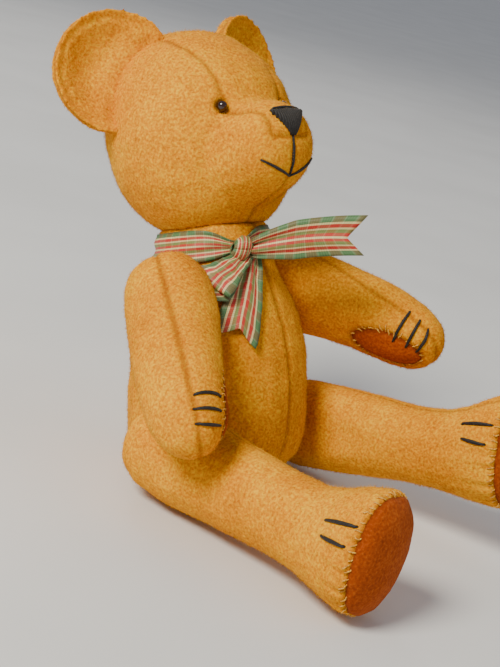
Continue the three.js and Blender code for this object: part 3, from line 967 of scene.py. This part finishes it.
def ribbon_object(name, strips, replaced):
    """One piece of woven ribbon made of the strips."""
    verts, faces, uvs = [], [], []
    for v, f, t in strips:
        faces += [[i + len(verts) for i in face] for face in f]
        verts += v
        uvs += t
    obj = new_object(name, verts, faces)
    layer = obj.data.uv_layers.new(name="UVMap")
    for loop in obj.data.loops:
        layer.data[loop.index].uv = uvs[loop.vertex_index]
    solid = obj.modifiers.new("thickness", "SOLIDIFY")
    solid.thickness = RIBBON_THICK * MM
    solid.offset = 0
    finish_piece(obj, RIBBON, "torso", replaced)
    return obj


def neck_ring(tree, angle, height, lift):
    """A point on the neck, at an angle about its axis and a height along it, in mm."""
    origin = Vector(joints["neck_turn"]["pos_m"])
    up = Vector(joints["neck_turn"]["axis"]).normalized()
    out = Vector((math.cos(angle), 0, 0)) + up.cross(Vector((1, 0, 0))) * math.sin(angle)
    start = origin + up * height * MM + out * 40 * MM
    at = tree.ray_cast(start, -out)[0]
    return at + out * lift * MM


def bow_point(x, y, z):
    """A point of the knot or of the tail that stands out, drawn further back than the chest's."""
    return knot_point(x, y, z) + body_direction(0, 1, 0) * KNOT_BACK * MM


def knot_on_neck():
    """The knot's angle round the neck's axis, and its height along it in mm."""
    up = Vector(joints["neck_turn"]["axis"]).normalized()
    away = bow_point(0, -KNOT_OUT, KNOT_HEIGHT) - Vector(joints["neck_turn"]["pos_m"])
    one = Vector((1, 0, 0))
    return math.atan2(away.dot(up.cross(one)), away.dot(one)), away.dot(up) / MM


def band_lows(tree):
    """The heights of the band's lower edge, as low as the CAD band goes, smoothed."""
    guide = node_surface("ribbon_neck_band")
    lows = []
    for i in range(BAND_TURNS):
        angle = 2 * math.pi * i / BAND_TURNS
        low = BAND_TOP - BAND_LEAST
        for h in np.arange(BAND_TOP - BAND_LEAST, BAND_LOWEST, -BAND_STEP):
            if guide.find_nearest(neck_ring(tree, angle, h, 0.3))[3] > BAND_ROOM * MM:
                break
            low = h
        lows.append(low)
    lows = np.array(lows)
    for _ in range(6):
        even = (np.roll(lows, 1) + lows * 2 + np.roll(lows, -1)) / 4
        lows = np.minimum(even, lows + 0.6)
    return lows


def build_band(tree):
    """The ribbon round the neck. It is squeezed up where the arms leave less room for it."""
    lows = band_lows(tree)
    knot_angle, knot_height = knot_on_neck()
    rows = []
    for i in range(BAND_TURNS + 1):
        angle = 2 * math.pi * i / BAND_TURNS
        low = lows[i % BAND_TURNS]
        apart = (angle - knot_angle + math.pi) % (2 * math.pi) - math.pi
        gather = 0.62 * math.exp(-(apart / 0.36) ** 2)
        row = []
        for k in range(RIBBON_COLUMNS):
            v = k / (RIBBON_COLUMNS - 1)
            fold = 0.28 * math.sin(2 * math.pi * (2.2 * v + 0.35 * math.sin(2 * angle)))
            ease = 0.12 * math.sin(9 * angle + 4 * v)
            fold += 0.35 * gather * math.sin(2 * math.pi * 3 * v)
            height = BAND_TOP + (low - BAND_TOP) * v
            height += (knot_height - height) * gather
            row.append(neck_ring(tree, angle, height, BAND_LIFT + fold + ease))
        rows.append(row)
    band = strip(rows, column=0)
    return ribbon_object("ribbon_band", [band], ["ribbon_neck_band"])


def on_chest(tree, x, z, lift):
    """The point of the chest at x and z of the bow's frame, in mm."""
    start = knot_point(x, -60, z)
    at, normal, _, _ = tree.ray_cast(start, knot_direction(0, 1, 0))
    return at + normal * lift * MM


def resampled(points, count):
    """Evenly spaced points on a smooth curve through the given ones, each (x, z, lift, half width)."""
    given = np.array(points, float)
    t = np.linspace(0, len(given) - 1, count)
    out = []
    for s in t:
        i = min(int(s), len(given) - 2)
        f = s - i
        p0, p1, p2, p3 = (given[min(max(i + k, 0), len(given) - 1)] for k in (-1, 0, 1, 2))
        out.append(0.5 * (2 * p1 + (p2 - p0) * f + (2 * p0 - 5 * p1 + 4 * p2 - p3) * f * f
                          + (3 * p1 - p0 - 3 * p2 + p3) * f ** 3))
    return out


def chest_strip(tree, points, count, waves, phase, notch=0.0):
    """A ribbon lying on the chest. The points give its middle, lift and half width."""
    line = resampled(points, count)
    rows = []
    for i, (x, z, lift, half) in enumerate(line):
        before, after = line[max(i - 1, 0)], line[min(i + 1, count - 1)]
        way = np.array([after[0] - before[0], after[1] - before[1]])
        way = way / max(np.linalg.norm(way), 1e-6)
        row = []
        for k in range(RIBBON_COLUMNS):
            s = 2 * k / (RIBBON_COLUMNS - 1) - 1
            back = notch * (1 - abs(s)) * i / (count - 1)
            px = x - way[1] * s * half - way[0] * back
            pz = z + way[0] * s * half - way[1] * back
            pinch = 1 - min(half / (RIBBON_WIDTH / 2), 1)
            fold = (0.25 + 0.9 * pinch) * math.sin(s * math.pi * 2 + phase) * waves
            row.append(on_chest(tree, px, pz, max(lift + fold, CHEST_LEAST_LIFT)))
        rows.append(row)
    return strip(rows)


def flying_tail():
    """The tail that stands out from the knot, with a swallow-tail end."""
    rows = []
    narrow, full = 2.1, RIBBON_WIDTH / 2
    ahead, aside = math.cos(TAIL_HEADING), math.sin(TAIL_HEADING)
    for i in range(TAIL_ROWS):
        t = i / (TAIL_ROWS - 1)
        out = 1.2 + TAIL_LONG * t
        half = narrow + (full - narrow) * min(1, t * 2.6) ** 0.7
        pinch = 1 - half / full
        row = []
        for k in range(RIBBON_COLUMNS):
            s = 1 - 2 * k / (RIBBON_COLUMNS - 1)
            d = out - TAIL_NOTCH * (1 - abs(s)) * max(0, t * 1.6 - 0.6)
            side = 0.5 * math.sin(3.2 * t + 0.6) * t + (0.35 + 1.1 * pinch) * math.sin(2 * math.pi * s)
            side += 0.35 * math.sin(7 * t + 1.4 * s)
            x = 1.0 + d * ahead - side * aside
            y = -KNOT_OUT + d * aside + side * ahead
            z = KNOT_HEIGHT + s * half + d * 0.24 + 0.8 * math.sin(2.6 * t) - 1.2 * t * t
            row.append(bow_point(x, y, z))
        rows.append(row)
    return strip(rows)


def knot_wrap():
    """The short tight turn of ribbon that makes the knot."""
    rows = []
    turns = 28
    across_half, out_half, up_half = KNOT_HALF
    centre = bow_point(0, -KNOT_OUT, KNOT_HEIGHT)
    out, up, side = knot_direction(0, -1, 0), knot_direction(0, 0, 1), knot_direction(1, 0, 0)
    for i in range(turns + 1):
        a = 2 * math.pi * i / turns
        row = []
        for k in range(KNOT_COLUMNS):
            s = 2 * k / (KNOT_COLUMNS - 1) - 1
            bulge = 1 - 0.62 * s * s + 0.07 * math.sin(11 * s + 2 * a)
            lean = 0.45 * math.sin(a)
            row.append(centre + (out * out_half * math.cos(a) * bulge
                                 + up * up_half * math.sin(a) * bulge
                                 + side * (across_half * s + lean)) * MM)
        rows.append(row)
    return strip(rows, column=KNOT_COLUMNS // 2)


def build_bow(tree):
    """One tail and one loop lying on the chest, the tail that stands out, and the knot."""
    tail = [(-0.3, 60.2, 1.9, 1.8), (-1.1, 55.2, 2.1, 2.9), (-2.9, 49.2, 1.7, 4.2), (-4.8, 43.6, 1.5, 4.9),
            (-6.4, 38.4, 1.9, 5.0)]
    loop = [(-0.8, 60.0, 1.5, 1.8), (-4, 57.0, 1.7, 2.6), (-7.2, 53.4, 1.9, 3.6), (-10.2, 50.4, 2.6, 4.2),
            (-10.9, 49.6, 3.7, 4.2), (-10, 50.8, 4.7, 4.1), (-7, 53.8, 4.6, 3.4), (-3.4, 57.6, 3.4, 2.4),
            (-0.8, 60.6, 2.2, 1.7)]
    strips = [chest_strip(tree, tail, 26, 0.9, 0.7, notch=3.4),
              chest_strip(tree, loop, 40, 0.35, 0.3),
              flying_tail(),
              knot_wrap()]
    return ribbon_object("ribbon_tied_bow", strips, ["ribbon_bow"])


# The rest of the scene ----
def dress_hardware():
    """Gives the discs and pins, which are shown as the CAD has them, their materials."""
    for name, obj in nodes.items():
        if obj.hide_render:
            continue
        obj.data.materials.clear()
        obj.data.materials.append(STEEL if name.endswith("_pin") else BOARD)


def area_light(name, at, aim, size, power, colour):
    data = bpy.data.lights.new(name, "AREA")
    data.shape = "DISK"
    data.size = size
    data.energy = power
    data.color = colour
    obj = bpy.data.objects.new(name, data)
    obj.location = at
    obj.rotation_euler = (Vector(aim) - Vector(at)).to_track_quat("-Z", "Y").to_euler()
    bpy.context.scene.collection.objects.link(obj)


def build_stage():
    far = FLOOR_HALF
    corners = [(x, y, FLOOR_HEIGHT) for x, y in ((-far, -far), (far, -far), (far, far), (-far, far))]
    floor = new_object("studio_floor", corners, [[0, 1, 2, 3]])
    floor.data.materials.append(PAPER)
    world = bpy.context.scene.world or bpy.data.worlds.new("studio")
    bpy.context.scene.world = world
    world.use_nodes = True
    world.node_tree.nodes["Background"].inputs["Color"].default_value = linear(SKY_COLOUR)
    world.node_tree.nodes["Background"].inputs["Strength"].default_value = SKY_STRENGTH
    for light in LIGHTS:
        area_light(*light)


def build_camera():
    az, el, roll = (math.radians(CAMERA[k]) for k in ("azimuth", "elevation", "roll"))
    back = Vector((math.sin(az) * math.cos(el), -math.cos(az) * math.cos(el), math.sin(el)))
    right = Vector((math.cos(az), math.sin(az), 0))
    up = back.cross(right)
    turned = right * math.cos(roll) + up * math.sin(roll)
    high = back.cross(turned)
    data = bpy.data.cameras.new("camera")
    data.sensor_fit = "VERTICAL"
    data.sensor_width = 36
    data.sensor_height = 36
    data.lens = CAMERA["focal"]
    data.clip_start = 0.01
    obj = bpy.data.objects.new("camera", data)
    place = Matrix((turned, high, back)).transposed().to_4x4()
    place.translation = (Vector(CAMERA["target"]) + back * CAMERA["distance"]) * MM
    obj.matrix_world = place
    bpy.context.scene.collection.objects.link(obj)
    bpy.context.scene.camera = obj


chest = build_body()
face = build_head()
for ear_side in ("left", "right"):
    build_ear(ear_side, face)
    build_eye(ear_side)
brushed = [build_band(chest), build_bow(chest), bpy.data.objects["body_plush_nap"]]
for limb_side, shift in (("left", 120), ("right", 160)):
    build_limb("arm", limb_side, shift, brushed)
    build_limb("leg", limb_side, shift + 200)
build_nose(face)
build_mouth(face)
dress_hardware()
build_stage()
build_camera()
bpy.context.view_layer.update()
